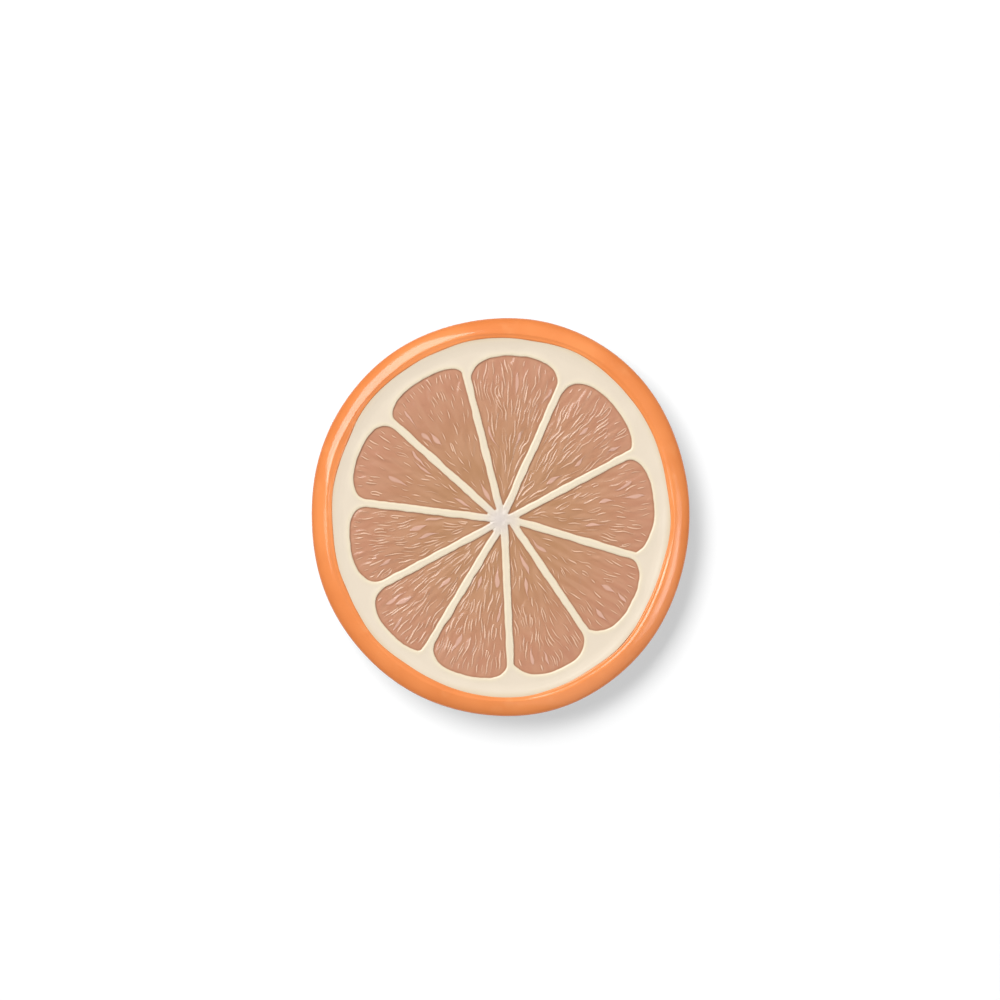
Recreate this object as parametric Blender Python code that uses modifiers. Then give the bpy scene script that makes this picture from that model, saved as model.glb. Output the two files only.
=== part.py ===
"""A moulded copy of an orange slice, lying flat: rind, pith, membranes and flesh in one piece.

The slice is built about its middle plane, with both faces alike, and is then raised to rest
on z = 0. Lengths are in metres, +Y runs along the slice's longer side and +Z up.
"""

import math
import random

import bmesh
import bpy
from mathutils import Vector

MM = 0.001

# The whole slice
SLICE_WIDTH = 76 * MM
SLICE_LENGTH = 80 * MM
SLICE_THICKNESS = 8 * MM
OUTLINE_POWER = 2.05  # 2 is an ellipse, and more is squarer
# Unevenness of the outline: waves in a turn, height, and the direction of a crest in degrees
OUTLINE_WAVES = ((1, 0.22 * MM, 53), (3, 0.23 * MM, 52), (5, 0.07 * MM, -5))
TURN_STEPS = 84

# Rind: a rounded rim, whose flat crest is what the slice rests on
RIND_WIDTH = 4.2 * MM
CREST_INSET = 3.2 * MM  # from the outline to the middle of the crest
CREST_LAND = 0.5 * MM
RIND_HEIGHT = 1.0 * MM  # of the crest above the foot of the rim's inner side
OUTER_STEPS = 4
INNER_STEPS = 2

# Pith and membranes: one web with a hole for each segment of flesh
PITH_THICKNESS = 6.6 * MM
PITH_CHAMFER = 0.3 * MM
PITH_OVERLAP = 0.6 * MM  # how far the web's edge is sunk in the rim
MEMBRANE_WIDTH = 1.55 * MM
# Direction of each membrane in degrees, and how far it passes to the left of the middle
MEMBRANES = (
    (28, -0.85 * MM),
    (66, -0.2 * MM),
    (104, -0.15 * MM),
    (138, 0.3 * MM),
    (173, 0.3 * MM),
    (208, 0.65 * MM),
    (239, 0.85 * MM),
    (272.5, 0.65 * MM),
    (304, 1.3 * MM),
    (343.5, 0.35 * MM),
)

# Segments of flesh, each between a membrane and the next one counter-clockwise: how far the
# outer side lies inside the outline, and how much the corner at each membrane is rounded off
SEGMENTS = (
    (7.7 * MM, 0.06, 0.18),
    (7.6 * MM, 0.14, 0.14),
    (7.8 * MM, 0.07, 0.08),
    (7.4 * MM, 0.14, 0.11),
    (7.4 * MM, 0.13, 0.16),
    (6.9 * MM, 0.17, 0.05),
    (7.2 * MM, 0.14, 0.11),
    (7.5 * MM, 0.13, 0.10),
    (7.4 * MM, 0.12, 0.12),
    (7.1 * MM, 0.17, 0.15),
)
CORNER_POWER = 3
SEGMENT_TIP = 0.8 * MM  # left blunt at the pointed end
SEGMENT_SIDES = 15  # straight pieces along the outer side of a hole
FLESH_EDGE_THICKNESS = 5.8 * MM
FLESH_CROWN = 0.2 * MM  # how far the middle of a segment stands above its edge
FLESH_OVERLAP = 0.4 * MM  # how far the flesh is sunk in the web

# Juice sacs: long ridges that point at the middle of the slice, in staggered rows
SAC_COLUMNS = 9
SAC_ROWS = 12
SAC_LENGTH = 3  # rows to a sac
SAC_HEIGHT = 0.3 * MM
SAC_STEEPNESS = 0.2  # most height for the width of a column
SAC_WANDER = 0.3  # sideways unevenness, as a share of a column
SAC_SEED = 7

# Core: the low knot where the membranes meet
CORE_CENTRE = (-0.2 * MM, -0.4 * MM)
CORE_RADIUS = 2.0 * MM
CORE_THICKNESS = 7.0 * MM

RIND_COLOUR = (0.91, 0.29, 0.09, 1)
PITH_COLOUR = (0.86, 0.75, 0.59, 1)
FLESH_COLOUR = (0.58, 0.30, 0.17, 1)
GLOSS_ROUGHNESS = 0.25


def clear_scene():
    for old in list(bpy.data.objects):
        bpy.data.objects.remove(old, do_unlink=True)


def make_collection(name):
    collection = bpy.data.collections.new(name)
    bpy.context.scene.collection.children.link(collection)
    return collection


def glossy_paint(name, colour):
    """Painted and clear-coated plastic: one colour, smooth, no metal."""
    material = bpy.data.materials.new(name)
    material.use_nodes = True
    shader = material.node_tree.nodes["Principled BSDF"]
    shader.inputs["Base Color"].default_value = colour
    shader.inputs["Roughness"].default_value = GLOSS_ROUGHNESS
    shader.inputs["Metallic"].default_value = 0
    return material


def mesh_from_bmesh(name, bm):
    mesh = bpy.data.meshes.new(name)
    bm.to_mesh(mesh)
    bm.free()
    return mesh


def add_object(name, data, collection, material=None):
    piece = bpy.data.objects.new(name, data)
    collection.objects.link(piece)
    if material:
        data.materials.append(material)
    return piece


def evaluated_mesh(piece):
    """The mesh of an object with its modifiers, or of a curve, with loose caps welded."""
    bpy.context.view_layer.update()
    graph = bpy.context.evaluated_depsgraph_get()
    mesh = bpy.data.meshes.new_from_object(piece.evaluated_get(graph))
    bm = bmesh.new()
    bm.from_mesh(mesh)
    bmesh.ops.remove_doubles(bm, verts=bm.verts, dist=0.001 * MM)
    bm.to_mesh(mesh)
    bm.free()
    return mesh


def outline_radius(angle):
    """Distance from the middle to the slice's outline."""
    across = abs(math.cos(angle) / (SLICE_WIDTH / 2)) ** OUTLINE_POWER
    along = abs(math.sin(angle) / (SLICE_LENGTH / 2)) ** OUTLINE_POWER
    radius = (across + along) ** (-1 / OUTLINE_POWER)
    for waves, height, crest in OUTLINE_WAVES:
        radius += height * math.cos(waves * (angle - math.radians(crest)))
    return radius


def direction(angle):
    return Vector((math.cos(angle), math.sin(angle)))


def rind_profile():
    """The rim's section as (distance inside the outline, height), down its outer side and
    up its inner side."""
    half = SLICE_THICKNESS / 2
    outer = CREST_INSET - CREST_LAND / 2
    inner = RIND_WIDTH - CREST_INSET - CREST_LAND / 2
    upper = []
    for step in range(INNER_STEPS, 0, -1):
        turn = step / INNER_STEPS * math.pi / 2
        inset = RIND_WIDTH - inner * (1 - math.sin(turn))
        upper.append((inset, half - RIND_HEIGHT * (1 - math.cos(turn))))
    upper.append((CREST_INSET + CREST_LAND / 2, half))
    for step in range(OUTER_STEPS, 0, -1):
        turn = step / OUTER_STEPS * math.pi / 2
        upper.append((outer * (1 - math.cos(turn)), half * math.sin(turn)))
    lower = [(inset, -height) for inset, height in reversed(upper)]
    return upper + [(0, 0)] + lower


def make_rind(collection):
    """The section turned about Z as a circle, whose every turn step then moves out or in to
    the outline."""
    mean_radius = (SLICE_WIDTH + SLICE_LENGTH) / 4
    bm = bmesh.new()
    ring = [bm.verts.new((mean_radius - inset, 0, height)) for inset, height in rind_profile()]
    for start, end in zip(ring, ring[1:] + ring[:1]):
        bm.edges.new((start, end))
    turned = add_object("rind", mesh_from_bmesh("rind", bm), collection)
    screw = turned.modifiers.new("Turn", "SCREW")
    screw.steps = TURN_STEPS
    screw.render_steps = TURN_STEPS
    screw.use_merge_vertices = True
    screw.merge_threshold = 0.01 * MM
    mesh = evaluated_mesh(turned)
    bpy.data.objects.remove(turned)
    for vertex in mesh.vertices:
        angle = math.atan2(vertex.co.y, vertex.co.x)
        shift = direction(angle) * (outline_radius(angle) - mean_radius)
        vertex.co += shift.to_3d()
    return add_object("orange_slice", mesh, collection, glossy_paint("rind_paint", RIND_COLOUR))


def segment_wedge(index, grow):
    """The wedge between two membranes as (point, first angle, angle it spans). grow moves
    both of its sides out."""
    first_angle, first_offset = MEMBRANES[index]
    last_angle, last_offset = MEMBRANES[(index + 1) % len(MEMBRANES)]
    first = direction(math.radians(first_angle))
    last = direction(math.radians(last_angle))
    first_offset += MEMBRANE_WIDTH / 2 - grow
    last_offset -= MEMBRANE_WIDTH / 2 - grow
    apex = (last * first_offset - first * last_offset) / first.cross(last)
    span = math.radians((last_angle - first_angle) % 360)
    return apex, math.radians(first_angle), span


def reach(apex, angle, inset):
    """Distance from a point along a direction to the outline moved in by inset."""
    low, high = 0.0, SLICE_LENGTH
    for _ in range(40):
        middle = (low + high) / 2
        point = apex + direction(angle) * middle
        if point.length < outline_radius(math.atan2(point.y, point.x)) - inset:
            low = middle
        else:
            high = middle
    return low


def segment_ray(index, across, grow=0.0):
    """A line from a segment's pointed end to its outer side, as (start, end). across runs
    from -1 at the first membrane to 1 at the next, and grow widens the segment."""
    apex, first_angle, span = segment_wedge(index, grow)
    inset, first_corner, last_corner = SEGMENTS[index]
    angle = first_angle + span * (across + 1) / 2
    corner = last_corner if across > 0 else first_corner
    rounding = corner * (1 - math.sqrt(max(0.0, 1 - abs(across) ** CORNER_POWER)))
    length = reach(apex, angle, inset - grow) * (1 - rounding)
    start = apex + direction(angle) * SEGMENT_TIP
    return start, apex + direction(angle) * length


def eased(step, steps):
    """Runs from -1 to 1, with its values closer together near both ends."""
    return math.sin((step / steps - 0.5) * math.pi)


def segment_outline(index):
    """A hole of the web: its blunt tip, straight sides and rounded outer side."""
    outer = [segment_ray(index, eased(step, SEGMENT_SIDES))[1] for step in range(SEGMENT_SIDES + 1)]
    return [segment_ray(index, -1)[0]] + outer + [segment_ray(index, 1)[0]]


def add_loop(curve, points):
    spline = curve.splines.new("POLY")
    spline.points.add(len(points) - 1)
    for target, point in zip(spline.points, points):
        target.co = (point.x, point.y, 0, 1)
    spline.use_cyclic_u = True


def make_pith_web(collection):
    """A flat plate with a hole for each segment. What is left between two holes is a
    membrane."""
    curve = bpy.data.curves.new("pith_web", "CURVE")
    curve.dimensions = "2D"
    curve.fill_mode = "BOTH"
    curve.extrude = PITH_THICKNESS / 2 - PITH_CHAMFER
    curve.bevel_depth = PITH_CHAMFER
    curve.bevel_resolution = 0
    curve.offset = -PITH_CHAMFER
    edge_inset = RIND_WIDTH - PITH_OVERLAP
    rim = []
    for step in range(TURN_STEPS):
        angle = 2 * math.pi * step / TURN_STEPS
        rim.append(direction(angle) * (outline_radius(angle) - edge_inset))
    add_loop(curve, rim)
    for index in range(len(SEGMENTS)):
        add_loop(curve, segment_outline(index))
    outline = add_object("pith_outline", curve, collection)
    mesh = evaluated_mesh(outline)
    bpy.data.objects.remove(outline)
    return add_object("pith_web", mesh, collection, glossy_paint("pith_paint", PITH_COLOUR))


def sac_height(column, row, width, draw):
    """Height of the flesh's relief at a grid point of a segment that is width across there:
    ridge and groove alternate across, and change places at each new row of sacs. The edge of
    a segment is level."""
    if column in (0, SAC_COLUMNS) or row in (0, SAC_ROWS):
        return 0
    sac_row, step = divmod(row, SAC_LENGTH)
    ridge = 1 if (column + sac_row) % 2 else -1
    taper = math.sin(math.pi * (step + 0.5) / SAC_LENGTH)
    height = min(SAC_HEIGHT, SAC_STEEPNESS * width / SAC_COLUMNS)
    return ridge * height * taper * draw.uniform(0.6, 1.0)


def make_flesh(index, collection, material):
    """A grid laid over the segment with its crown and juice sacs, whose extruded copy is
    turned over as the other face."""
    draw = random.Random(SAC_SEED + index)
    apex, _, span = segment_wedge(index, FLESH_OVERLAP)
    bm = bmesh.new()
    bmesh.ops.create_grid(bm, x_segments=SAC_COLUMNS, y_segments=SAC_ROWS, size=1)
    for vertex in bm.verts:
        column = round((vertex.co.x + 1) / 2 * SAC_COLUMNS)
        row = round((vertex.co.y + 1) / 2 * SAC_ROWS)
        across = vertex.co.x
        if 0 < column < SAC_COLUMNS:
            across += draw.uniform(-SAC_WANDER, SAC_WANDER) * 2 / SAC_COLUMNS
        start, end = segment_ray(index, across, FLESH_OVERLAP)
        place = start.lerp(end, row / SAC_ROWS)
        width = span * (place - apex).length
        crown = FLESH_CROWN * (1 - across**2) * math.sin(math.pi * row / SAC_ROWS)
        height = FLESH_EDGE_THICKNESS / 2 + crown + sac_height(column, row, width, draw)
        vertex.co = place.to_3d() + Vector((0, 0, height))
    other_face = bmesh.ops.extrude_face_region(bm, geom=bm.faces[:])
    for item in other_face["geom"]:
        if isinstance(item, bmesh.types.BMVert):
            item.co.z *= -1
    bmesh.ops.recalc_face_normals(bm, faces=bm.faces)
    name = f"segment_{index + 1:02d}"
    return add_object(name, mesh_from_bmesh(name, bm), collection, material)


def make_core(collection, material):
    bm = bmesh.new()
    bmesh.ops.create_uvsphere(bm, u_segments=16, v_segments=8, radius=CORE_RADIUS)
    flattening = CORE_THICKNESS / (2 * CORE_RADIUS)
    bmesh.ops.scale(bm, vec=(1, 1, flattening), verts=bm.verts)
    bmesh.ops.translate(bm, vec=(*CORE_CENTRE, 0), verts=bm.verts)
    return add_object("core", mesh_from_bmesh("core", bm), collection, material)


def join_shapes(body, shapes):
    """One Boolean union of the body with a collection, whose objects are then removed."""
    union = body.modifiers.new("Union", "BOOLEAN")
    union.operation = "UNION"
    union.operand_type = "COLLECTION"
    union.collection = shapes
    union.solver = "EXACT"
    union.material_mode = "TRANSFER"
    joined = evaluated_mesh(body)
    body.modifiers.clear()
    body.data = joined
    for shape in list(shapes.objects):
        bpy.data.objects.remove(shape)
    bpy.data.collections.remove(shapes)


def main():
    clear_scene()
    slice_parts = make_collection("orange_slice")
    shapes = make_collection("joined_shapes")
    body = make_rind(slice_parts)
    web = make_pith_web(shapes)
    flesh_paint = glossy_paint("flesh_paint", FLESH_COLOUR)
    for index in range(len(SEGMENTS)):
        make_flesh(index, shapes, flesh_paint)
    make_core(shapes, web.data.materials[0])
    join_shapes(body, shapes)
    body.data.shade_smooth()
    body.data.set_sharp_from_angle(angle=math.radians(40))
    body.location.z = SLICE_THICKNESS / 2


main()
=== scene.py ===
import math

import bpy
import numpy as np
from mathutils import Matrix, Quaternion, Vector, geometry, kdtree


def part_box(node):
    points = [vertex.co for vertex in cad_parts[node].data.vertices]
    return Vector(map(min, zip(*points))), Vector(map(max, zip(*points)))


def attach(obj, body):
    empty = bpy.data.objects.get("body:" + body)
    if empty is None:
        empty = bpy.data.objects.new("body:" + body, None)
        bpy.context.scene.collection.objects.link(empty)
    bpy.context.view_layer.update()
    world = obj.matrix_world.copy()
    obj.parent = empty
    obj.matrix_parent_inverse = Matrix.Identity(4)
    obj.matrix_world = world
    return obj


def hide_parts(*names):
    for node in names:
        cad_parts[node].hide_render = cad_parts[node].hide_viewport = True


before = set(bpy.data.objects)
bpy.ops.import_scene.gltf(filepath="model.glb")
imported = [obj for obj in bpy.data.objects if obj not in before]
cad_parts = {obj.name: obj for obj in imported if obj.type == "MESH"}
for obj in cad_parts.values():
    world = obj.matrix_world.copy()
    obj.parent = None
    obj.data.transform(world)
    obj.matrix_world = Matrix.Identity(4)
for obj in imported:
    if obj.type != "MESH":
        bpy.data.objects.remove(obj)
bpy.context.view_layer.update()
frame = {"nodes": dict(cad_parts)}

print("frame loaded:", ", ".join(frame["nodes"]))

# Everything is worked out in millimetres round the slice's middle, and turned to metres when
# a mesh is made. Both faces of the slice are alike, so only the upper one is shaped here.
mm = 0.001
low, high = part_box("orange_slice")

sliceForm = {
    "width": (high.x - low.x) / mm,
    "length": (high.y - low.y) / mm,
    "halfThickness": (high.z - low.z) / mm / 2,
    "around": (-38, 38, -40, 40),  # a frame round it: left, right, near and far
    "outlinePower": 2.05,  # 2 is an ellipse, more is squarer
    # waves in a turn, their height, and the direction of a crest in degrees
    "outlineWaves": ((1, 0.22, 53), (3, 0.23, 52), (5, 0.07, -5)),
    # shallow flats between as many soft corners: their depth, and the direction of a corner
    "flats": (9, 0.09, 2),
    "sharpAngle": 60,  # degrees between two faces, above which their edge is shaded sharp
}

# what each uneven thing is drawn from, so that it comes out the same each time; those of the
# segments have the segment's index added
seeds = {
    "crest": 3, "inner": 5, "dip": 8, "grid": 1, "edge": 40, "fineEdge": 30, "pith": 11, "core": 17,
    "sacs": 100, "strokes": 200, "lean": 50, "kink": 70, "patches": 60, "wrinkle": 80, "streak": 90,
}


def outlineRadius(angle):
    across = np.abs(np.cos(angle) / (sliceForm["width"] / 2)) ** sliceForm["outlinePower"]
    along = np.abs(np.sin(angle) / (sliceForm["length"] / 2)) ** sliceForm["outlinePower"]
    radius = (across + along) ** (-1 / sliceForm["outlinePower"])
    for waves, height, crest in sliceForm["outlineWaves"]:
        radius = radius + height * np.cos(waves * (angle - math.radians(crest)))
    count, depth, corner = sliceForm["flats"]
    return radius - depth * (0.5 - 0.5 * np.cos(count * (angle - math.radians(corner))))


def insetOf(x, y):
    # how far a point lies inside the slice's outline
    return outlineRadius(np.arctan2(y, x)) - np.hypot(x, y)


def gentleWaves(x, y, length, seed):
    # a smooth uneven surface, mostly between -1 and 1, with humps about length mm apart
    draw = np.random.default_rng(seed)
    waves = 12
    total = np.zeros(np.shape(x))
    for _ in range(waves):
        turn = draw.uniform(0, 2 * math.pi)
        start = draw.uniform(0, 2 * math.pi)
        step = 2 * math.pi / (length * draw.uniform(0.7, 1.5))
        total += np.cos(step * (x * math.cos(turn) + y * math.sin(turn)) + start)
    return total / math.sqrt(waves)


def smoothStep(value, start, end):
    share = np.clip((value - start) / (end - start), 0, 1)
    return share * share * (3 - 2 * share)


def makePiece(name, points, faces, values):
    # points are in metres, and values holds one value a point under each label
    mesh = bpy.data.meshes.new(name)
    mesh.from_pydata(points.tolist(), [], faces)
    for label, value in values.items():
        attribute = mesh.attributes.new(label, "FLOAT", "POINT")
        attribute.data.foreach_set("value", value.astype(np.float32))
    mesh.shade_smooth()
    mesh.set_sharp_from_angle(angle=math.radians(sliceForm["sharpAngle"]))
    piece = bpy.data.objects.new(name, mesh)
    bpy.context.scene.collection.objects.link(piece)
    print("made", name, "with", len(mesh.polygons), "faces")
    return piece


def makeDoublePiece(name, x, y, height, faces, values):
    # closes a shaped face with its mirror image below and walls along the border
    count = len(x)
    up = np.column_stack((x, y, height))
    down = np.column_stack((x, y, -height))
    points = np.concatenate((up, down)) * mm
    points[:, 2] += sliceForm["halfThickness"] * mm
    starts = faces.ravel()
    ends = np.roll(faces, -1, axis=1).ravel()
    forward = starts.astype(np.int64) * count + ends
    backward = ends.astype(np.int64) * count + starts
    border = ~np.isin(forward, backward)
    a, b = starts[border], ends[border]
    walls = np.column_stack((b, a, a + count, b + count))
    allFaces = faces.tolist() + (faces[:, ::-1] + count).tolist() + walls.tolist()
    values = {label: np.tile(value, 2) for label, value in values.items()}
    return makePiece(name, points, allFaces, values)


# materials: what every node and colour goes through

def hexToLinear(code):
    channels = [int(code[i:i + 2], 16) / 255 for i in (1, 3, 5)]
    linear = [c / 12.92 if c <= 0.04045 else ((c + 0.055) / 1.055) ** 2.4 for c in channels]
    return (*linear, 1)


def addNode(tree, kind, settings=(), links=()):
    node = tree.nodes.new(kind)
    for key, value in dict(settings).items():
        if isinstance(key, int) or key in node.inputs:
            node.inputs[key].default_value = value
        else:
            setattr(node, key, value)
    for key, source in dict(links).items():
        tree.links.new(source, node.inputs[key])
    return node


def newMaterial(name):
    material = bpy.data.materials.new(name)
    material.use_nodes = True
    tree = material.node_tree
    tree.nodes.clear()
    return material, tree


def blotches(tree, size, detail):
    # noise with features about size mm across; object coordinates are in metres
    place = addNode(tree, "ShaderNodeTexCoord").outputs["Object"]
    settings = {"Scale": 1 / (size * mm), "Detail": detail}
    return addNode(tree, "ShaderNodeTexNoise", settings, {"Vector": place}).outputs[0]


def layColours(tree, paint, patterns=()):
    # lays a paint's layers over its base. Each follows one of the patterns, or else a value that
    # the mesh holds, and shows as strongly as that, unless it says where in it it starts, where
    # it is full, and how strong it is there
    colour = None
    for follows, tint, *limits in paint["layers"]:
        if follows in patterns:
            share = patterns[follows]
        else:
            share = addNode(tree, "ShaderNodeAttribute", {"attribute_name": follows}).outputs["Fac"]
        if limits:
            start, full, strength = limits
            settings = {1: start, 2: full, 4: strength, "interpolation_type": "SMOOTHSTEP"}
            share = addNode(tree, "ShaderNodeMapRange", settings, {0: share}).outputs[0]
        settings = {"data_type": "RGBA", 6: hexToLinear(paint["base"]), 7: hexToLinear(tint)}
        links = {0: share, 6: colour} if colour else {0: share}
        colour = addNode(tree, "ShaderNodeMix", settings, links).outputs[2]
    return colour


def finishGloss(tree, colour, gloss, bumps):
    # bumps are (height socket, depth in mm), laid over each other
    normal = None
    for height, depth in bumps:
        links = {"Height": height}
        if normal:
            links["Normal"] = normal
        bump = addNode(tree, "ShaderNodeBump", {"Strength": 1.0, "Distance": depth * mm}, links)
        normal = bump.outputs[0]
    shader = addNode(tree, "ShaderNodeBsdfPrincipled", gloss, {"Base Color": colour, "Normal": normal})
    addNode(tree, "ShaderNodeOutputMaterial", (), {"Surface": shader.outputs[0]})


# rind: one ring, closed all round its section

rindForm = {
    "edgeRadius": 1.0,  # the tight turn out of the upright side
    "edgeTilt": 38,  # degrees from level where it ends
    "shoulderInset": 1.6,  # where the rounded side passes into the flatter top
    "shoulderTilt": 26.5,  # degrees from level there
    "crestInset": 3.08,  # where the flatter top reaches the crest
    "crestTilt": 12,  # degrees from level there
    # the inner side as arcs, each with its radius and the tilt where it ends: over the crest and
    # down, out on to a ledge, and down again to the pith
    "inner": ((0.25, -15), (3.4, -22), (0.2, -3), (10, -4.3), (0.35, -55)),
    "innerReach": 1.5,  # from the crest to where the inner side is hidden in the pith
    "crestWander": 0.12,  # how far the crest strays from its line
    "innerWander": 0.16,  # how much the inner side varies, as a share of its width
    "dip": 0.05,  # how far the crest falls below its highest
    "waveLengths": {"crest": 20, "inner": 22, "dip": 9},  # of those three
    "crestRadius": 36,  # about, where the three are read off
    "turnSteps": 720,
    "arcStep": 0.08,  # the most that an arc turns from point to point, in radians
}

rindPaint = {
    "base": "#E58648",
    # what each layer follows, its colour, where it starts and is full, and its strength there
    "layers": (
        ("cloud", "#EF9253", 0.3, 0.7, 1),
        ("speck", "#F09D61", 0.55, 0.8, 0.5),
        # painted shade: the steep outer side is painted a deeper orange
        ("side", "#CE7030"),
        # painted shadow in the crevice between rind and pith
        ("gap", "#8F4E28"),
    ),
    "cloud": 14,  # size of the broad clouds
    "speck": 4,  # and of the small pale specks
    "sideShadeFade": 0.7,  # how far the painted shade that deepens the steep outer side reaches over the edge
    "gap": (313, 7),  # a painted shadow in the crevice beside the pith: where it lies, and half its length, in degrees
    "gapShadowRows": (6, 5),  # the rows of points that show it above and below
    "gloss": {"IOR": 1.5, "Roughness": 0.12},
    "swell": (6, 0.045),  # size and depth of its slow unevenness
    "streaks": (0.5, 9, 0.018),  # width, length and depth of the streaks along the rim
    "streakRadius": 38,  # how far out they have that length
}


def rindSection():
    # the upper half of the rind's section, as insets and heights from the outline inwards
    tilts = ("edgeTilt", "shoulderTilt", "crestTilt")
    edge, shoulder, crest = (math.sin(math.radians(rindForm[name])) for name in tilts)
    edgeInset = rindForm["edgeRadius"] * (1 - edge)
    shoulderRadius = (rindForm["shoulderInset"] - edgeInset) / (edge - shoulder)
    topRadius = (rindForm["crestInset"] - rindForm["shoulderInset"]) / (shoulder - crest)
    arcs = [
        (rindForm["edgeRadius"], rindForm["edgeTilt"]),
        (shoulderRadius, rindForm["shoulderTilt"]),
        (topRadius, rindForm["crestTilt"]),
        *rindForm["inner"],
    ]
    inset, height, tilt = [0.0], [0.0], math.pi / 2
    for radius, last in arcs:
        last = math.radians(last)
        steps = max(3, math.ceil(abs(tilt - last) / rindForm["arcStep"]))
        startInset, startHeight = inset[-1], height[-1]
        turn = math.copysign(radius, tilt - last)
        for step in range(1, steps + 1):
            now = tilt + (last - tilt) * step / steps
            inset.append(startInset + turn * (math.sin(tilt) - math.sin(now)))
            height.append(startHeight + turn * (math.cos(now) - math.cos(tilt)))
        tilt = last
    end = rindForm["crestInset"] + rindForm["innerReach"]
    height.append(height[-1] + (end - inset[-1]) * math.tan(tilt))
    inset.append(end)
    # an upright wall below lifts the crest to the slice's full thickness
    wall = sliceForm["halfThickness"] - max(height)
    return np.array([0.0] + inset), np.array([0.0] + [h + wall for h in height])


def shapeRind():
    steps, crest = rindForm["turnSteps"], rindForm["crestInset"]
    angle = np.linspace(0, 2 * math.pi, steps, endpoint=False)
    circleX, circleY = rindForm["crestRadius"] * np.cos(angle), rindForm["crestRadius"] * np.sin(angle)

    def wavesAlong(name):
        return gentleWaves(circleX, circleY, rindForm["waveLengths"][name], seeds[name])

    stray = rindForm["crestWander"] * wavesAlong("crest")
    widen = 1 + rindForm["innerWander"] * wavesAlong("inner")
    dip = rindForm["dip"] * (0.5 + 0.5 * np.clip(wavesAlong("dip") / 2, -1, 1))
    upper = []
    for inset, height in zip(*rindSection()):
        share = min(inset / crest, 1)
        across = inset + stray * share if inset <= crest else crest + stray + (inset - crest) * widen
        upper.append((across + 0 * angle, height - dip * share))
    lower = [(across, -height) for across, height in reversed(upper[1:])]
    section = upper + lower
    radius = outlineRadius(angle)
    points = []
    for across, height in section:
        distance = radius - across
        points.append(np.column_stack((distance * np.cos(angle), distance * np.sin(angle), height)))
    points = np.concatenate(points)
    points[:, 2] += sliceForm["halfThickness"]
    count = len(section)
    ring, step = np.meshgrid(np.arange(count), np.arange(steps), indexing="ij")
    nextRing, nextStep = (ring + 1) % count, (step + 1) % steps
    corners = (
        ring * steps + step,
        ring * steps + nextStep,
        nextRing * steps + nextStep,
        nextRing * steps + step,
    )
    faces = np.stack(corners, axis=-1).reshape(-1, 4)
    depth = np.concatenate([across for across, _ in section])
    # a painted shadow along the crevice by the pith, over a short stretch of the rim
    middle, halfLength = np.radians(rindPaint["gap"])
    turnFromGapShadow = np.exp(-(((angle - middle) / halfLength) ** 2))
    above, below = rindPaint["gapShadowRows"]
    nearPith = [float(len(upper) - above <= row < len(upper) + below) for row in range(count)]
    values = {
        # side: painted shade on the steep outer side, fading inwards
        "side": np.exp(-depth / rindPaint["sideShadeFade"]),
        "gap": np.outer(nearPith, turnFromGapShadow).ravel(),
    }
    return makePiece("rind", points * mm, faces.tolist(), values)


def streaksAlongRim(tree, wide, long):
    # noise drawn out along the rim, with streaks so many mm wide and long
    place = addNode(tree, "ShaderNodeTexCoord").outputs["Object"]
    settings = {"operation": "MULTIPLY", 1: (1, 1, 0)}
    flat = addNode(tree, "ShaderNodeVectorMath", settings, {0: place}).outputs[0]
    radius = addNode(tree, "ShaderNodeVectorMath", {"operation": "LENGTH"}, {0: flat}).outputs["Value"]
    outward = addNode(tree, "ShaderNodeVectorMath", {"operation": "NORMALIZE"}, {0: flat}).outputs[0]
    settings = {"operation": "SCALE", "Scale": rindPaint["streakRadius"] / long}
    turn = addNode(tree, "ShaderNodeVectorMath", settings, {0: outward}).outputs[0]
    settings = {"operation": "MULTIPLY", 1: 1 / (wide * mm)}
    step = addNode(tree, "ShaderNodeMath", settings, {0: radius}).outputs[0]
    depth = addNode(tree, "ShaderNodeCombineXYZ", (), {"Z": step}).outputs[0]
    where = addNode(tree, "ShaderNodeVectorMath", {"operation": "ADD"}, {0: turn, 1: depth}).outputs[0]
    settings = {"Scale": 1.0, "Detail": 2.0}
    return addNode(tree, "ShaderNodeTexNoise", settings, {"Vector": where}).outputs[0]


def sprayedOrangePvc():
    # PVC moulded and then sprayed orange under clear varnish: an even, slightly cloudy colour
    # with broad highlights, streaked along the rim and with edges that wander where the varnish
    # has pooled
    material, tree = newMaterial("sprayedOrangePvc")
    # its steep outer side is painted deeper as painted shade, and a short stretch beside the pith dark as
    # a painted shadow in the crevice
    patterns = {name: blotches(tree, rindPaint[name], 2) for name in ("cloud", "speck")}
    colour = layColours(tree, rindPaint, patterns)
    swell, swellDepth = rindPaint["swell"]
    wide, long, streakDepth = rindPaint["streaks"]
    bumps = ((blotches(tree, swell, 1), swellDepth), (streaksAlongRim(tree, wide, long), streakDepth))
    finishGloss(tree, colour, rindPaint["gloss"], bumps)
    return material


# segments: where the flesh and the membranes lie

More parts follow.
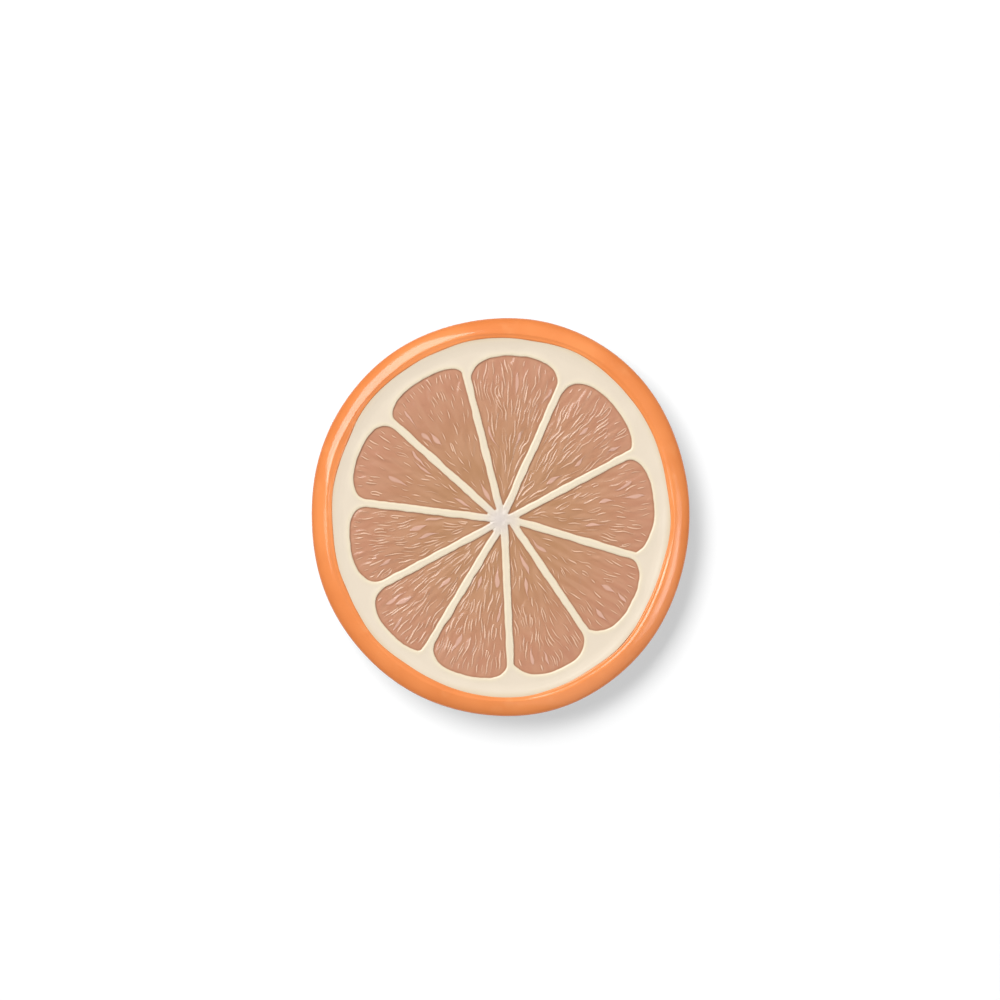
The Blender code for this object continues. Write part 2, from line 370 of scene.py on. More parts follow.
segmentForm = {
    "membraneWidth": 1.55,
    # direction of each membrane in degrees, and how far it passes to the left of the middle
    "membranes": (
        (28, -0.95), (66, -0.31), (104, -0.27), (138, 0.34), (173, 0.4),
        (208, 0.74), (239, 0.87), (272.5, 0.7), (304, 1.38), (343.5, 0.24),
    ),
    # each segment's outer side inside the outline, and the rounding of its two corners
    "segments": (
        (7.8, 0.06, 0.18), (7.68, 0.14, 0.14), (7.88, 0.07, 0.08), (7.5, 0.14, 0.12), (7.45, 0.13, 0.16),
        (6.98, 0.17, 0.05), (7.28, 0.14, 0.11), (7.55, 0.09, 0.13), (7.48, 0.12, 0.13), (7.22, 0.10, 0.15),
    ),
    "cornerPower": 3,  # the higher, the closer to a corner its rounding starts
    "sharpCorners": ((7, -1), (8, -1), (9, -1)),  # segment, and -1 for its first corner
    "tipRadius": 0.1,
    "outerPoints": 241,  # along the outer side, closer together near its corners
    "tipPoints": 25,
    "edgeSpacing": 0.25,  # between the points that the edge is left with
    # how far a painted edge strays from its line, the length of its waves, and the length and
    # share of the finer ones
    "wobble": 0.06,
    "wobbleLength": 5,
    "fineWobble": (2, 0.4),
}
segmentCount = len(segmentForm["segments"])


def segmentWedge(index, grow=0.0):
    # the point where a segment's straight sides meet, its first side's angle, and its span
    firstAngle, firstOffset = segmentForm["membranes"][index]
    lastAngle, lastOffset = segmentForm["membranes"][(index + 1) % segmentCount]
    first = np.array((math.cos(math.radians(firstAngle)), math.sin(math.radians(firstAngle))))
    last = np.array((math.cos(math.radians(lastAngle)), math.sin(math.radians(lastAngle))))
    halfMembrane = segmentForm["membraneWidth"] / 2 - grow
    cross = first[0] * last[1] - first[1] * last[0]
    apex = (last * (firstOffset + halfMembrane) - first * (lastOffset - halfMembrane)) / cross
    return apex, math.radians(firstAngle), math.radians((lastAngle - firstAngle) % 360)


def segmentReach(index, across, grow=0.0):
    # from the apex to the outer side, for across from -1 at the first side to 1 at the last
    apex, firstAngle, span = segmentWedge(index, grow)
    inset, firstCorner, lastCorner = segmentForm["segments"][index]
    angle = firstAngle + span * (across + 1) / 2
    near, far = np.zeros_like(angle), np.full_like(angle, sliceForm["length"])
    for _ in range(40):  # each turn halves what is left between near and far
        middle = (near + far) / 2
        inside = insetOf(apex[0] + middle * np.cos(angle), apex[1] + middle * np.sin(angle)) > inset - grow
        near, far = np.where(inside, middle, near), np.where(inside, far, middle)
    corner = np.where(across > 0, lastCorner, firstCorner)
    sharp = np.abs(across) ** segmentForm["cornerPower"]
    rounding = 1 - np.sqrt(np.clip(1 - sharp, 0, 1))
    for segment, side in segmentForm["sharpCorners"]:
        if segment == index:
            rounding = np.where(across * side > 0, sharp, rounding)
    return near * (1 - corner * rounding), angle


def segmentEdge(index, grow=0.0):
    # the closed edge of a segment, counter-clockwise, with points evenly spaced along it, and
    # the direction away from the segment at each
    apex, firstAngle, span = segmentWedge(index, grow)
    across = np.sin(np.linspace(-0.5, 0.5, segmentForm["outerPoints"]) * math.pi)
    reach, angle = segmentReach(index, across, grow)
    outer = apex + np.column_stack((reach * np.cos(angle), reach * np.sin(angle)))
    middle = firstAngle + span / 2
    radius = segmentForm["tipRadius"] + grow
    tipCentre = apex + radius / math.sin(span / 2) * np.array((math.cos(middle), math.sin(middle)))
    turnStart, turnEnd = firstAngle + span + math.pi / 2, firstAngle + 1.5 * math.pi
    turn = np.linspace(turnStart, turnEnd, segmentForm["tipPoints"])
    tip = tipCentre + radius * np.column_stack((np.cos(turn), np.sin(turn)))
    loop = spreadEvenly(np.concatenate((tip, outer)), segmentForm["edgeSpacing"])
    tangent = np.roll(loop, -1, axis=0) - np.roll(loop, 1, axis=0)
    tangent /= np.hypot(*tangent.T)[:, None]
    outward = np.column_stack((tangent[:, 1], -tangent[:, 0]))
    fineLength, fineShare = segmentForm["fineWobble"]
    stray = gentleWaves(*loop.T, segmentForm["wobbleLength"], seeds["edge"] + index)
    stray = stray + fineShare * gentleWaves(*loop.T, fineLength, seeds["fineEdge"] + index)
    return loop + outward * segmentForm["wobble"] * stray[:, None], outward


def spreadEvenly(loop, spacing):
    # points evenly spaced along a closed line
    loop = np.vstack((loop, loop[:1]))
    length = np.concatenate(((0,), np.cumsum(np.hypot(*np.diff(loop, axis=0).T))))
    even = np.linspace(0, length[-1], round(length[-1] / spacing), endpoint=False)
    return np.column_stack((np.interp(even, length, loop[:, 0]), np.interp(even, length, loop[:, 1])))


def insideLoop(loop, x, y):
    # even-odd test
    startX, startY = loop[:, 0], loop[:, 1]
    endX, endY = np.roll(startX, -1), np.roll(startY, -1)
    inside = np.zeros(len(x), bool)
    near = (x > startX.min()) & (x < startX.max()) & (y > startY.min()) & (y < startY.max())
    px, py = x[near, None], y[near, None]
    spans = (startY > py) != (endY > py)
    with np.errstate(divide="ignore", invalid="ignore"):
        crossing = px < (endX - startX) * (py - startY) / (endY - startY) + startX
    inside[near] = (spans & crossing).sum(axis=1) % 2 == 1
    return inside


def pointTree(points):
    tree = kdtree.KDTree(len(points))
    for number, (x, y) in enumerate(points.tolist()):
        tree.insert((x, y, 0), number)
    tree.balance()
    return tree


def lineTree(loops):
    # for finding how far a point is from the nearest of several closed lines
    fineSpacing = 0.02
    return pointTree(np.concatenate([spreadEvenly(loop, fineSpacing) for loop in loops]))


def distanceTo(tree, x, y):
    return np.array([tree.find((px, py, 0))[2] for px, py in zip(x.tolist(), y.tolist())])


def triangleGrid(spacing, lowX, highX, lowY, highY):
    # points in staggered rows, each a little out of line
    rows = np.arange(lowY, highY, spacing * 0.866)  # the height of a triangle with equal sides
    columns = np.arange(lowX, highX, spacing)
    x = (columns[None, :] + spacing / 2 * (np.arange(len(rows)) % 2)[:, None]).ravel()
    y = np.repeat(rows, len(columns))
    draw = np.random.default_rng(seeds["grid"])
    return x + draw.uniform(-0.1, 0.1, x.shape) * spacing, y + draw.uniform(-0.1, 0.1, x.shape) * spacing


def triangulate(loops, x, y):
    # joins closed lines and loose points in triangles that face up
    places, edges = [], []
    for loop in loops:
        first = len(places)
        places += loop.tolist()
        edges += [(first + i, first + (i + 1) % len(loop)) for i in range(len(loop))]
    places += np.column_stack((x, y)).tolist()
    places = [Vector(place) for place in places]
    wholeHull, mergeWithin = 0, 1e-5  # triangles out to the hull, and points this close made one
    found = geometry.delaunay_2d_cdt(places, edges, [], wholeHull, mergeWithin, False)
    xy, triangles = np.array([tuple(point) for point in found[0]]), np.array(found[2])
    a, b, c = (xy[triangles[:, i]] for i in range(3))
    turned = (b[:, 0] - a[:, 0]) * (c[:, 1] - a[:, 1]) < (b[:, 1] - a[:, 1]) * (c[:, 0] - a[:, 0])
    triangles[turned] = triangles[turned][:, ::-1]
    return xy, triangles


def keepTriangles(xy, triangles, wanted):
    used, compact = np.unique(triangles[wanted], return_inverse=True)
    return xy[used, 0], xy[used, 1], compact.reshape(-1, 3)


segmentEdges = [segmentEdge(index) for index in range(segmentCount)]
print("laid out", segmentCount, "segments")


# pith and membranes: one web, cut short of the flesh by its rounded edges

pithForm = {
    "height": 3.26,
    "fromCrest": 0.95,  # from the rind's crest to where the pith shows
    "sunkInRind": 0.45,
    # up to the rind: a gentle rise and then two narrow ones, each with its height and where it
    # starts and ends inside the outline
    "rises": ((0.14, 6.6, 5.0), (0.12, 5.45, 4.7), (0.07, 4.75, 4.15)),
    "edgeDrop": 0.14,  # the rounded edge down to the flesh
    "edgeWidth": 0.4,
    "bead": 0.06,  # a low swelling along the flesh
    "beadWidth": 0.5,  # half of it
    "unevenness": 0.035,
    "unevenLength": 7,
    "coreCentre": (-0.2, -0.4),
    "coreRadius": 2.0,
    "coreHeight": 0.22,
    "creases": 0.04,  # of the core
    "creaseLength": 1.5,
    "creaseReach": 1.3,  # in radii of the core
    "grooveDepth": 0.1,  # of the grooves that run from the segments' tips into the core
    "grooveWidth": 0.16,  # half of it
    "grooveStart": -0.4,  # from the tip
    "grooveLength": 1.3,
    # the mesh: steps along the rim, rows of points along each edge, the spacing of the loose
    # points and how far these stay from the rows and from the rim
    "rimSteps": 640,
    "offsets": (0.04, 0.09, 0.15, 0.22, 0.31, 0.42, 0.56, 0.72),
    "spacing": 0.34,
    "rowClearance": 0.15,
    "rimClearance": 0.2,
    # the same for the more finely meshed core
    "fineRadius": 3.6,
    "fineSpacing": 0.13,
    "fineClearance": 0.1,
}

pithPaint = {
    "base": "#DFD1BD",
    # what each layer follows, its colour, where it starts and is full, and its strength there
    "layers": (
        ("byFlesh", "#E5D7BC", 0.1, 0.7, 1),
        # painted shade and painted orange glow from the rind, on the pith beside it
        ("shadeByRind", "#D8C5A8"),
        ("core", "#D5CAC2"),
        ("brim", "#C39A7C"),
    ),
    "fleshFade": 0.7,  # how far from the flesh its colour reaches
    "brimWidth": 0.08,
    "rindShadeStart": 5.7,  # inside the outline
    "rindShadeFade": 1.6,
    "coreFade": 3.2,
    "gloss": {"IOR": 1.5, "Roughness": 0.3},
    "swell": (4, 0.03),  # size and depth of its slow unevenness
}


def pithHeight(x, y, edge):
    # edge is the distance to the nearest flesh
    height = np.full(x.shape, pithForm["height"])
    for rise, start, end in pithForm["rises"]:
        height += rise * smoothStep(insetOf(x, y), start, end)
    near = np.clip(1 - edge / pithForm["edgeWidth"], 0, 1)
    height -= pithForm["edgeDrop"] * near**2
    height += pithForm["bead"] * np.exp(-(((edge - pithForm["beadWidth"]) / pithForm["beadWidth"]) ** 2))
    height += pithForm["unevenness"] * gentleWaves(x, y, pithForm["unevenLength"], seeds["pith"])
    coreX, coreY = pithForm["coreCentre"]
    fromCore = np.hypot(x - coreX, y - coreY) / pithForm["coreRadius"]
    creases = pithForm["creases"] * gentleWaves(x, y, pithForm["creaseLength"], seeds["core"])
    height += creases * np.exp(-((fromCore / pithForm["creaseReach"]) ** 2))
    for index in range(segmentCount):
        (tipX, tipY), _, _ = segmentWedge(index)
        toCore = math.atan2(coreY - tipY, coreX - tipX)
        along = (x - tipX) * math.cos(toCore) + (y - tipY) * math.sin(toCore)
        aside = (y - tipY) * math.cos(toCore) - (x - tipX) * math.sin(toCore)
        fade = smoothStep(along, pithForm["grooveLength"], 0)
        fade *= smoothStep(along, pithForm["grooveStart"], 0)
        height -= pithForm["grooveDepth"] * fade * np.exp(-((aside / pithForm["grooveWidth"]) ** 2))
    return height + pithForm["coreHeight"] * np.exp(-(fromCore**2))


def shapePith():
    holes = [edge for edge, _ in segmentEdges]
    tree = lineTree(holes)
    outerInset = rindForm["crestInset"] + pithForm["fromCrest"] - pithForm["sunkInRind"]
    turns = np.linspace(0, 2 * math.pi, pithForm["rimSteps"], endpoint=False)
    rim = outlineRadius(turns) - outerInset
    rim = np.column_stack((rim * np.cos(turns), rim * np.sin(turns)))
    rows = []
    for offset in pithForm["offsets"]:
        for edge, outward in segmentEdges:
            row = edge + outward * offset
            rows.append(row[distanceTo(tree, *row.T) > 0.98 * offset])  # a neighbour may be nearer
    x, y = triangleGrid(pithForm["spacing"], *sliceForm["around"])
    coreX, coreY = pithForm["coreCentre"]
    reach = pithForm["fineRadius"]
    loose = insetOf(x, y) > outerInset + pithForm["rimClearance"]
    x, y = x[loose], y[loose]
    loose = distanceTo(tree, x, y) > pithForm["offsets"][-1] + pithForm["rowClearance"]
    rows.append(np.column_stack((x[loose], y[loose])))
    rows = [row[np.hypot(*(row - (coreX, coreY)).T) > reach] for row in rows]
    around = coreX - reach, coreX + reach, coreY - reach, coreY + reach
    x, y = triangleGrid(pithForm["fineSpacing"], *around)
    loose = np.hypot(x - coreX, y - coreY) < reach
    loose &= distanceTo(tree, x, y) > pithForm["fineClearance"]
    rows.append(np.column_stack((x[loose], y[loose])))
    xy, triangles = triangulate(holes + [rim], *np.concatenate(rows).T)
    centre = xy[triangles].mean(axis=1)
    wanted = insetOf(*centre.T) > outerInset
    for hole in holes:
        wanted &= ~insideLoop(hole, *centre.T)
    x, y, triangles = keepTriangles(xy, triangles, wanted)
    edge = distanceTo(tree, x, y)
    fromCore = np.hypot(x - coreX, y - coreY)
    values = {
        "byFlesh": np.exp(-edge / pithPaint["fleshFade"]),
        "brim": np.exp(-((edge / pithPaint["brimWidth"]) ** 2)),
        "shadeByRind": np.clip((pithPaint["rindShadeStart"] - insetOf(x, y)) / pithPaint["rindShadeFade"], 0, 1) ** 3,
        "core": np.exp(-((fromCore / pithPaint["coreFade"]) ** 2)),
    }
    return makeDoublePiece("pith", x, y, pithHeight(x, y, edge), triangles, values)


def sprayedCreamPvc():
    # PVC sprayed cream: the varnish over it is thicker and yellower where it runs down to the
    # flesh, the tan of the flesh catches its brim, and the knot in the middle is left greyer
    material, tree = newMaterial("sprayedCreamPvc")
    # beside the rind it is painted darker and more orange, as painted shade and the painted glow of the
    # rind
    colour = layColours(tree, pithPaint)
    swell, depth = pithPaint["swell"]
    finishGloss(tree, colour, pithPaint["gloss"], ((blotches(tree, swell, 1), depth),))
    return material


# flesh: ten pieces, each a field of juice sacs that point at the middle

fleshForm = {
    "edgeHeight": 2.98,
    "crown": 0.2,  # how much higher a segment is in the open than along its edge
    "crownReach": 5,  # from the segment's edge to where the crown is full
    "grow": 0.15,  # sunk under the pith's rounded edge
    "sacRows": 11,
    "sacRow": 3.0,  # from one row of sacs to the next
    "sacLength": 5.2,
    "sacWidth": 1.35,
    "sacSizes": (0.6, 1.2),  # the smallest and the largest against the usual
    # how far a sac strays from its place: sideways in places, and lengthways in mm
    "sacStray": (0.25, 1.3),
    "sacTaper": 0.35,  # blunt outside, pointed inside
    "sacTilt": 0.6,  # how much they tip to one side, against how much they differ in height
    "sacFloor": 0.003,  # the lower, the deeper the gaps between sacs
    "swell": 0.055,  # how far the sacs swell up
    "unevenness": 0.04,  # how much they differ in height
    "sacReach": 0.8,  # from the segment's edge to where the sacs have their full height
    "lean": 0.2,  # how far sacs and strokes turn from pointing straight at the middle
    "leanSize": 8,  # how far apart strokes are that lean in different ways
    "kink": 0.16,  # how far strokes turn this way and that along their length
    "kinkSize": 2.2,
    # segment by segment: raised strokes, their usual length, and the share of places along the
    # rind with a short one
    "strokes": (
        (72, 4.1, 0.3), (92, 4.0, 0.3), (40, 1.9, 0.8), (40, 2.1, 0.7), (56, 2.9, 0.6),
        (66, 3.5, 0.3), (66, 3.3, 0.1), (60, 2.8, 0.3), (34, 2.1, 0.7), (50, 2.7, 0.5),
    ),
    "strokeWidth": 0.12,  # half of it
    "strokeHeight": 0.075,
    "forkShare": 0.2,  # of them that are two strokes meeting outside
    "forkLength": 2.4,  # the shortest that forks
    "forkWidth": 0.45,  # at most, half of it
    "clearance": 0.34,  # between strokes
    "shortClearance": 0.62,  # round the short ones
    "shortPoints": 11,  # a stroke with no more points than this is a short one
    "edgeClearance": 0.33,  # between strokes and the segment's edge
    # the short ones along the rind: the first place, the end and the step across a segment, where
    # its sides are -1 and 1, how far they stray from it, how far inside its outer side they
    # start, and their length
    "shortPlaces": (-0.85, 0.86, 0.11),
    "shortStray": 0.03,
    "shortInset": (0.5, 0.9),
    "shortLength": (0.9, 2.3),
    "leaves": 4,  # broad, leaf-shaped strokes in each segment
    "leafWidth": 0.42,  # half of it
    "leafLength": 4.2,
    "leafLengths": (0.6, 1.2),  # the shortest and the longest against that
    "leafHeight": 0.05,
    "thinnest": 0.06,  # half the width of a leaf's ends, and the least with rows of points beside it
    "patches": 8,  # between places with many and with few strokes
    "sparse": 0.25,  # share of the many that the few are
    "tries": 6000,  # to find room for the strokes
    "leafTries": 400,
    "strokeShadeWidth": 0.16,  # of the painted shade beside a stroke
    "wrinkle": 0.006,  # of the bare flesh
    "wrinkleSize": 1.2,
    # the mesh: how far its points are apart along the edge, in the open and along a stroke, the
    # rows of them beside a stroke, in half widths, and how far they stay from the edge
    "edgeSpacing": 0.2,
    "spacing": 0.26,
    "strokeSpacing": 0.2,
    "strokeGap": 0.6,  # from those by the strokes to those in the open, in spacings of the latter
    "strokeRows": (0, 0.6, -0.6, 1.2, -1.2, 1.9, -1.9),
    "leafRows": (0, 0.5, -0.5, 0.8, -0.8, 1.05, -1.05, 1.35, -1.35),
    "meshClearance": 0.08,
}

fleshPaint = {
    "base": "#B2835F",
    # what each layer follows, its colour, where it starts and is full, and its strength there
    "layers": (
        ("outward", "#BC8569", 0.3, 1.0, 1),
        # painted shade: darker and browner towards the segments' inner tips
        ("outward", "#A47446", 0.15, 0.05, 0.7),
        ("streak", "#CB9D7E", 0.1, 0.9, 0.3),
        # painted shade along the segment's sunk edge under the pith
        ("border", "#A57256", 0.2, 1.0, 0.8),
        # painted shade beside the raised strokes
        ("strokeShade", "#9B6746", 0.1, 0.8, 0.75),
        # painted highlight: the raised leaves are painted pale, as the glint of their flat tops
        ("leaf", "#D9AE9C", 0.1, 0.9, 0.8),
        # painted highlight along the raised strokes, which also catch real glints
        ("line", "#E6BFA3", 0.1, 0.85, 0.85),
    ),
    "outerRadius": 32,  # where outward is 1
    "streakWidth": 1.8,
    "streakStretch": 5,  # how many times longer than wide
    "borderShadeFade": 0.35,
    "gloss": {"IOR": 1.5, "Roughness": 0.22},
    "grain": (1.2, 0.006),  # size and depth
}

# fields and marks are kept on square grids that reach so far each way from the middle
gridReach = 45
fieldCell = 0.25
markCell = 0.1


def scatterSacs(index):
    # each sac: its middle, direction, length, width, and how it is raised and tilted
    apex, firstAngle, span = segmentWedge(index)
    sideways, lengthways = fleshForm["sacStray"]
    draw = np.random.default_rng(seeds["sacs"] + index)
    sacs = []
    for row in range(1, fleshForm["sacRows"] + 1):
        distance = row * fleshForm["sacRow"]
        count = max(1, round(span * distance / fleshForm["sacWidth"]))
        for column in range(-1, count + 1):
            place = column + 0.5 + row % 2 / 2 + draw.uniform(-sideways, sideways)
            turn = firstAngle + span * place / count
            reach = distance + draw.uniform(-lengthways, lengthways)
            sacs.append((
                apex[0] + reach * math.cos(turn),
                apex[1] + reach * math.sin(turn),
                turn + draw.normal(0, fleshForm["lean"]),
                fleshForm["sacLength"] * draw.uniform(*fleshForm["sacSizes"]),
                fleshForm["sacWidth"] * draw.uniform(*fleshForm["sacSizes"]),
                draw.normal(0, 1),
                draw.normal(0, 1),
            ))
    return sacs


def sacBodies(sacs, x, y):
    # the sacs' swollen bodies, each a little higher, lower or more tilted than the next
    weight, lift = np.full(x.shape, fleshForm["sacFloor"]), np.zeros(x.shape)
    for sacX, sacY, lean, length, width, rise, tilt in sacs:
        dx, dy = x - sacX, y - sacY
        along = (dx * math.cos(lean) + dy * math.sin(lean)) / length * 2
        side = (dy * math.cos(lean) - dx * math.sin(lean)) / width * 2
        side = side / (1 + fleshForm["sacTaper"] * np.clip(along, -1, 1))
        share = np.exp(-4 * (along**2 + side**2))
        weight += share
        lift += share * (rise + fleshForm["sacTilt"] * tilt * side)
    return fleshForm["swell"] * (1 + np.log(weight) / 4) + fleshForm["unevenness"] * lift / weight


def leanField(index):
    # how far strokes turn from pointing at the middle, so that neighbours run side by side
    place = np.arange(-gridReach, gridReach, fieldCell)
    x, y = np.meshgrid(place, place, indexing="ij")
    lean = gentleWaves(x, y, fleshForm["leanSize"], seeds["lean"] + index)
    kink = gentleWaves(x, y, fleshForm["kinkSize"], seeds["kink"] + index)
    return fleshForm["lean"] * lean + fleshForm["kink"] * kink


def traceStroke(field, apex, x, y, length):
    # a stroke's middle line, from its outer end inwards
    count = max(7, round(length / fleshForm["strokeSpacing"]))
    line = [(x, y)]
    for _ in range(count - 1):
        column, row = int((x + gridReach) / fieldCell), int((y + gridReach) / fieldCell)
        turn = math.atan2(y - apex[1], x - apex[0]) + field[column, row]
        x -= length / (count - 1) * math.cos(turn)
        y -= length / (count - 1) * math.sin(turn)
        line.append((x, y))
    return np.array(line)


def drawLeaf(draw, line):
    # a thin stroke that swells once
    along = np.linspace(0, 1, len(line))
    skew = draw.choice((0.5, 0.8, 1.6))  # below 1 it is widest near its outer end
    swelling = np.abs(np.sin(math.pi * along**skew)) ** draw.uniform(1.2, 2.5)
    half = fleshForm["thinnest"] + fleshForm["leafWidth"] * draw.uniform(0.4, 1.1) * swelling
    return [(line, half, True, draw.uniform(0.7, 1))]


def drawThin(draw, line, length):
    # one thin stroke, or two that meet at their outer ends
    along = np.linspace(0, 1, len(line))
    swelling = np.abs(np.sin(math.pi * along ** draw.uniform(0.6, 1.6)))
    half = fleshForm["strokeWidth"] * draw.uniform(0.75, 1.2) * (0.4 + 0.6 * swelling**0.6)
    strength = draw.uniform(0.6, 1)
    if draw.uniform() > fleshForm["forkShare"] or length < fleshForm["forkLength"]:
        return [(line, half, False, strength)]
    step = np.gradient(line, axis=0)
    sideways = np.column_stack((-step[:, 1], step[:, 0])) / np.hypot(*step.T)[:, None]
    widest = min(fleshForm["forkWidth"], draw.uniform(0.06, 0.11) * length)
    spread = widest * 2.6 * (1 - along) * np.sqrt(along)  # 2.6 brings the rest to 1 at its most
    pair = []
    for side in (-1, 1):
        count = max(6, round(len(along) * draw.uniform(0.5, 1)))
        pair.append(((line + side * spread[:, None] * sideways)[:count], half[:count], False, strength))
    return pair


def markPlaces(points):
    # the cells of the grid of marks that points lie in
    return ((points + gridReach) / markCell).astype(int)


def scatterStrokes(index, loop, tree):
    # strokes kept clear of each other and of the segment's border
    draw = np.random.default_rng(seeds["strokes"] + index)
    apex, _, _ = segmentWedge(index)
    wanted, usual, shadeByRind = fleshForm["strokes"][index]
    field = leanField(index)
    cells = round(2 * gridReach / markCell)
    taken = np.zeros((cells, cells), bool)
    kept = []

    def keepIfClear(strokes):
        for line, half, _, _ in strokes:
            if not insideLoop(loop, *line.T).all():
                return 0
            if (distanceTo(tree, *line.T) < fleshForm["edgeClearance"] + half).any():
                return 0
            if taken[tuple(markPlaces(line).T)].any():
                return 0
        for line, half, leaf, _ in strokes:
            short = len(line) <= fleshForm["shortPoints"]
            for place, width in zip(markPlaces(line), half if leaf else 0 * half):
                clear = width + fleshForm["shortClearance" if short else "clearance"]
                steps = math.floor(clear / markCell)
                disc = np.mgrid[-steps:steps + 1, -steps:steps + 1].reshape(2, -1).T
                disc = disc[np.hypot(*disc.T) * markCell <= clear] + place
                taken[tuple(disc.T)] = True
        kept.extend(strokes)
        return 1

    low, high = loop.min(axis=0), loop.max(axis=0)
    count = 0
    for _ in range(fleshForm["leafTries"]):
        x, y = draw.uniform(low, high)
        length = fleshForm["leafLength"] * draw.uniform(*fleshForm["leafLengths"])
        count += keepIfClear(drawLeaf(draw, traceStroke(field, apex, x, y, length)))
        if count == fleshForm["leaves"]:
            break
    places, stray = np.arange(*fleshForm["shortPlaces"]), fleshForm["shortStray"]
    across = places + draw.uniform(-stray, stray, len(places))
    for far, turn in zip(*segmentReach(index, across)):
        if draw.uniform() < shadeByRind:
            far -= draw.uniform(*fleshForm["shortInset"])
            length = draw.uniform(*fleshForm["shortLength"])
            x, y = apex[0] + far * math.cos(turn), apex[1] + far * math.sin(turn)
            keepIfClear(drawThin(draw, traceStroke(field, apex, x, y, length), length))
    count, sparse = 0, fleshForm["sparse"]
    for _ in range(fleshForm["tries"]):
        x, y = draw.uniform(low, high)
        length = usual * (draw.uniform(0.45, 1) + 0.6 * (1 - count / wanted))  # long ones first
        many = gentleWaves(x, y, fleshForm["patches"], seeds["patches"] + index)
        column, row = int((x + gridReach) / markCell), int((y + gridReach) / markCell)
        if not taken[column, row] and draw.uniform() < sparse + (1 - sparse) * smoothStep(many, -1, 1):
            count += keepIfClear(drawThin(draw, traceStroke(field, apex, x, y, length), length))
        if count == wanted:
            break
    print("segment", index + 1, "has", len(kept), "strokes")
    return kept


def pointsByStrokes(strokes):
    # rows of points along the strokes, thinned out where strokes meet
    rows = []
    for line, half, leaf, _ in strokes:
        step = np.gradient(line, axis=0)
        step /= np.hypot(*step.T)[:, None]
        sideways = np.column_stack((step[:, 1], -step[:, 0])) * half[:, None]
        for row in fleshForm["leafRows" if leaf else "strokeRows"]:
            wide = half > (fleshForm["thinnest"] if row else 0)
            rows.append((abs(row), (line + sideways * row)[wide]))
    rows.sort(key=lambda entry: entry[0])
    points = np.concatenate([points for _, points in rows])
    tooClose = 0.03
    _, first = np.unique(np.round(points / tooClose), axis=0, return_index=True)
    return points[np.sort(first)]


def strokeMarks(strokes, x, y):
    # how strongly a thin stroke, a leaf, and the painted shade beside them show, from 0 to 1
    marks = {"line": np.zeros(x.shape), "leaf": np.zeros(x.shape), "strokeShade": np.zeros(x.shape)}
    for line, half, leaf, strength in strokes:
        margin = 3 * (half.max() + fleshForm["strokeShadeWidth"])  # nothing shows beyond it
        (lowX, lowY), (highX, highY) = line.min(axis=0) - margin, line.max(axis=0) + margin
        near = (x > lowX) & (x < highX) & (y > lowY) & (y < highY)
        if not near.any():
            continue
        px, py = x[near, None], y[near, None]
        (startX, startY), (stepX, stepY) = line[:-1].T, np.diff(line, axis=0).T
        share = ((px - startX) * stepX + (py - startY) * stepY) / (stepX**2 + stepY**2)
        share = np.clip(share, 0, 1)
        gap = np.hypot(px - startX - share * stepX, py - startY - share * stepY)
        width = half[:-1] + share * np.diff(half)
        fade = strength * np.clip(width / fleshForm["strokeWidth"], 0, 1)
        kind = "leaf" if leaf else "line"
        mark = (fade * np.exp(-((gap / width) ** (4 if leaf else 2)))).max(axis=1)
        strokeShade = (fade * np.exp(-((gap / (width + fleshForm["strokeShadeWidth"])) ** 2))).max(axis=1)
        marks[kind][near] = np.maximum(marks[kind][near], mark)
        marks["strokeShade"][near] = np.maximum(marks["strokeShade"][near], strokeShade)
    marks["strokeShade"] *= 1 - np.maximum(marks["line"], marks["leaf"])
    return marks


def shapeFlesh(index):
    loop, _ = segmentEdge(index, fleshForm["grow"])
    loop = spreadEvenly(loop, fleshForm["edgeSpacing"])
    tree = lineTree([loop])
    strokes = scatterStrokes(index, loop, tree)
    byStrokes = pointsByStrokes(strokes)
    (lowX, lowY), (highX, highY) = loop.min(axis=0), loop.max(axis=0)
    x, y = triangleGrid(fleshForm["spacing"], lowX, highX, lowY, highY)
    loose = insideLoop(loop, x, y)
    x, y = x[loose], y[loose]
    loose = distanceTo(pointTree(byStrokes), x, y) > fleshForm["strokeGap"] * fleshForm["spacing"]
    x, y = np.concatenate((byStrokes, np.column_stack((x[loose], y[loose])))).T
    loose = distanceTo(tree, x, y) > fleshForm["meshClearance"]
    xy, triangles = triangulate([loop], x[loose], y[loose])
    x, y, triangles = keepTriangles(xy, triangles, insideLoop(loop, *xy[triangles].mean(axis=1).T))
    border = np.clip(distanceTo(tree, x, y) - fleshForm["grow"], 0, None)
    marks = strokeMarks(strokes, x, y)
    height = fleshForm["edgeHeight"] + fleshForm["crown"] * smoothStep(border, 0, fleshForm["crownReach"])
    height += smoothStep(border, 0, fleshForm["sacReach"]) * sacBodies(scatterSacs(index), x, y)
    height += fleshForm["strokeHeight"] * marks["line"] + fleshForm["leafHeight"] * marks["leaf"]
    wrinkles = gentleWaves(x, y, fleshForm["wrinkleSize"], seeds["wrinkle"] + index)
    height += fleshForm["wrinkle"] * wrinkles
    apex, firstAngle, span = segmentWedge(index)
    middle = firstAngle + span / 2
    along = (x - apex[0]) * math.cos(middle) + (y - apex[1]) * math.sin(middle)
    aside = (y - apex[1]) * math.cos(middle) - (x - apex[0]) * math.sin(middle)
    along /= fleshPaint["streakStretch"]
    streak = gentleWaves(along, aside, fleshPaint["streakWidth"], seeds["streak"] + index)
    values = {
        **marks,
        "border": np.exp(-border / fleshPaint["borderShadeFade"]),
        "outward": np.hypot(x, y) / fleshPaint["outerRadius"],
        "streak": smoothStep(streak, -2, 2),
    }
    return makeDoublePiece(f"segment_{index + 1:02d}", x, y, height, triangles, values)


